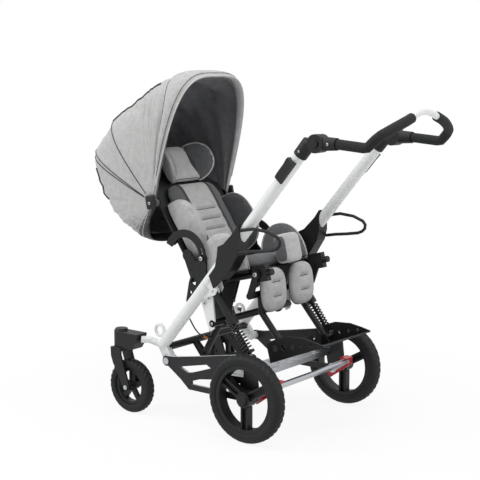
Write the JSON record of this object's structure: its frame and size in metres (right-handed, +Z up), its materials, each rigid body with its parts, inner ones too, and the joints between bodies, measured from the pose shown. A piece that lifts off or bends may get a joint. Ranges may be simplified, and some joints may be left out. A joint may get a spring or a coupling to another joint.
{
  "type": "special needs buggy",
  "caption": "Folding special needs buggy with sprung base, tilting and reclining padded seat, fold-back canopy, legrest with tray footplate and hinged push handle",
  "frame": {"origin": "floor level under the middle of the bounding box", "axes": "+X to the right seen by someone who looks along +Y, +Y to the front casters, +Z up; the seat faces -Y, towards the push handle"},
  "size_m": [0.629, 1.3046, 1.1811],
  "materials": {
    "white_paint": "white powder coat, satin",
    "black_plastic": "black moulded plastic, fine grain",
    "black_steel": "black powder coat",
    "silver": "bright zinc plated steel",
    "aluminium": "patterned aluminium sheet",
    "tyre": "black tyre rubber",
    "light_cloth": "light grey melange weave",
    "dark_cloth": "dark grey melange weave",
    "foam_grip": "black foam grip",
    "pedal_red": "red moulded plastic"
  },
  "bodies": {
    "chassis": {"frame_left": "white_paint", "frame_right": "white_paint", "cross_tubes": "black_steel", "caster_housings": "black_plastic", "frame_bolts": "silver", "release_cable": "black_plastic"},
    "caster_left": {"caster_fork_left": "black_plastic", "caster_axle_left": "silver"},
    "caster_right": {"caster_fork_right": "black_plastic", "caster_axle_right": "silver"},
    "caster_wheel_left": {"caster_tyre_left": "tyre", "caster_rim_left": "black_plastic"},
    "caster_wheel_right": {"caster_tyre_right": "tyre", "caster_rim_right": "black_plastic"},
    "rear_swing": {"swing_arms": "black_plastic", "tread_plate": "aluminium", "rear_axle": "silver"},
    "rear_wheel_left": {"rear_tyre_left": "tyre", "rear_rim_left": "black_plastic"},
    "rear_wheel_right": {"rear_tyre_right": "tyre", "rear_rim_right": "black_plastic"},
    "strut_upper": {"strut_cylinders": "black_plastic", "strut_springs": "black_steel"},
    "strut_lower": {"strut_rods": "silver"},
    "brake": {"brake_bar": "silver", "brake_pedals": "pedal_red"},
    "push_bar": {"push_tubes": "white_paint", "fold_covers": "black_plastic", "handle_hinges": "black_plastic"},
    "trigger_left": {"fold_trigger_left": "black_plastic"},
    "trigger_right": {"fold_trigger_right": "black_plastic"},
    "handle": {"handle_tube": "white_paint", "handle_grips": "foam_grip", "handle_knuckles": "black_plastic"},
    "button_left": {"handle_button_left": "black_plastic"},
    "button_right": {"handle_button_right": "black_plastic"},
    "gas_body": {"gas_cylinder": "black_steel"},
    "gas_piston": {"gas_rod": "silver"},
    "seat": {"seat_frame": "black_steel", "recline_brackets": "black_plastic", "seat_cushion": "dark_cloth", "hip_pads": "light_cloth", "pommel": "light_cloth", "leg_hangers": "black_plastic"},
    "backrest": {"back_shell": "black_plastic", "recline_arcs": "black_plastic", "back_cushion": "light_cloth", "head_cushion": "light_cloth", "head_pads": "dark_cloth", "thoracic_pads": "light_cloth", "canopy_hinges": "black_plastic", "canopy_rear_panel": "light_cloth"},
    "canopy_mid": {"canopy_mid_bow": "black_steel", "canopy_mid_fabric": "light_cloth"},
    "canopy_front": {"canopy_front_bow": "black_steel", "canopy_front_fabric": "light_cloth"},
    "legrest": {"leg_frame": "black_steel", "calf_pads": "light_cloth"},
    "foot": {"footplate": "black_plastic"}
  },
  "joints": [
    {"name": "caster_swivel_left", "type": "hinge", "parent": "chassis", "child": "caster_left", "pos_m": [-0.268, 0.403, 0.24], "axis": [0, 0, 1], "continuous": true},
    {"name": "caster_spin_left", "type": "hinge", "parent": "caster_left", "child": "caster_wheel_left", "pos_m": [-0.268, 0.355, 0.095], "axis": [1, 0, 0], "continuous": true},
    {"name": "caster_swivel_right", "type": "hinge", "parent": "chassis", "child": "caster_right", "pos_m": [0.268, 0.403, 0.24], "axis": [0, 0, 1], "continuous": true},
    {"name": "caster_spin_right", "type": "hinge", "parent": "caster_right", "child": "caster_wheel_right", "pos_m": [0.268, 0.355, 0.095], "axis": [1, 0, 0], "continuous": true},
    {"name": "suspension", "type": "hinge", "parent": "chassis", "child": "rear_swing", "pos_m": [0, 0.204, 0.205], "axis": [-1, 0, 0], "range_deg": [0, 6], "stiffness_Nm_per_rad": 500, "springref_deg": -17.19},
    {"name": "rear_spin_left", "type": "hinge", "parent": "rear_swing", "child": "rear_wheel_left", "pos_m": [-0.2865, -0.168, 0.145], "axis": [1, 0, 0], "continuous": true},
    {"name": "rear_spin_right", "type": "hinge", "parent": "rear_swing", "child": "rear_wheel_right", "pos_m": [0.2865, -0.168, 0.145], "axis": [1, 0, 0], "continuous": true},
    {"name": "strut_tilt", "type": "hinge", "parent": "chassis", "child": "strut_upper", "pos_m": [0, 0.01128, 0.46701], "axis": [-1, 0, 0], "range_deg": [0, 4.5]},
    {"name": "strut_slide", "type": "slide", "parent": "strut_upper", "child": "strut_lower", "axis": [0, 0.6013, 0.799], "range_m": [0, 0.036], "deforming": ["strut_springs"]},
    {"name": "brake_press", "type": "hinge", "parent": "rear_swing", "child": "brake", "pos_m": [0, -0.168, 0.145], "axis": [1, 0, 0], "range_deg": [0, 18]},
    {"name": "fold", "type": "hinge", "parent": "chassis", "child": "push_bar", "pos_m": [0, 0.01128, 0.46701], "axis": [1, 0, 0], "range_deg": [0, 65]},
    {"name": "trigger_left", "type": "slide", "parent": "push_bar", "child": "trigger_left", "axis": [0, -0.6441, 0.7649], "range_m": [0, 0.012], "stiffness_N_per_m": 400, "springref_m": -0.004},
    {"name": "trigger_right", "type": "slide", "parent": "push_bar", "child": "trigger_right", "axis": [0, -0.6441, 0.7649], "range_m": [0, 0.012], "stiffness_N_per_m": 400, "springref_m": -0.004},
    {"name": "handle_angle", "type": "hinge", "parent": "push_bar", "child": "handle", "pos_m": [0, -0.39411, 0.97017], "axis": [-1, 0, 0], "range_deg": [-40, 55]},
    {"name": "button_left", "type": "slide", "parent": "push_bar", "child": "button_left", "axis": [1, 0, 0], "range_m": [0, 0.0035], "stiffness_N_per_m": 600, "springref_m": -0.003},
    {"name": "button_right", "type": "slide", "parent": "push_bar", "child": "button_right", "axis": [-1, 0, 0], "range_m": [0, 0.0035], "stiffness_N_per_m": 600, "springref_m": -0.003},
    {"name": "seat_tilt", "type": "hinge", "parent": "chassis", "child": "seat", "pos_m": [0, 0.03128, 0.35201], "axis": [-1, 0, 0], "range_deg": [-5, 20]},
    {"name": "gas_swing", "type": "hinge", "parent": "chassis", "child": "gas_body", "pos_m": [0, 0.186, 0.194], "axis": [-1, 0, 0], "range_deg": [-1, 3]},
    {"name": "gas_slide", "type": "slide", "parent": "gas_body", "child": "gas_piston", "axis": [0, 0.4948, -0.869], "range_m": [-0.006, 0.026]},
    {"name": "recline", "type": "hinge", "parent": "seat", "child": "backrest", "pos_m": [0, 0.16887, 0.56485], "axis": [1, 0, 0], "range_deg": [0, 20]},
    {"name": "canopy_mid_turn", "type": "hinge", "parent": "backrest", "child": "canopy_mid", "pos_m": [0, 0.30772, 0.73645], "axis": [-1, 0, 0], "range_deg": [0, 17.5]},
    {"name": "canopy_front_turn", "type": "hinge", "parent": "canopy_mid", "child": "canopy_front", "pos_m": [0, 0.30772, 0.73645], "axis": [-1, 0, 0], "range_deg": [0, 50]},
    {"name": "legrest_lift", "type": "hinge", "parent": "seat", "child": "legrest", "pos_m": [0, -0.12312, 0.53047], "axis": [-1, 0, 0], "range_deg": [-5, 45]},
    {"name": "footplate_flip", "type": "hinge", "parent": "legrest", "child": "foot", "pos_m": [0, -0.20176, 0.2764], "axis": [-1, 0, 0], "range_deg": [0, 60]}
  ],
  "couplings": [
    {"joint": "strut_tilt", "follows": "suspension", "ratio": 0.65564},
    {"joint": "strut_slide", "follows": "suspension", "m_per_rad": 0.31446},
    {"joint": "gas_swing", "follows": "seat_tilt", "ratio": 0.08868},
    {"joint": "gas_slide", "follows": "seat_tilt", "m_per_rad": 0.060025},
    {"joint": "canopy_mid_turn", "follows": "canopy_front_turn", "ratio": 0.35}
  ]
}
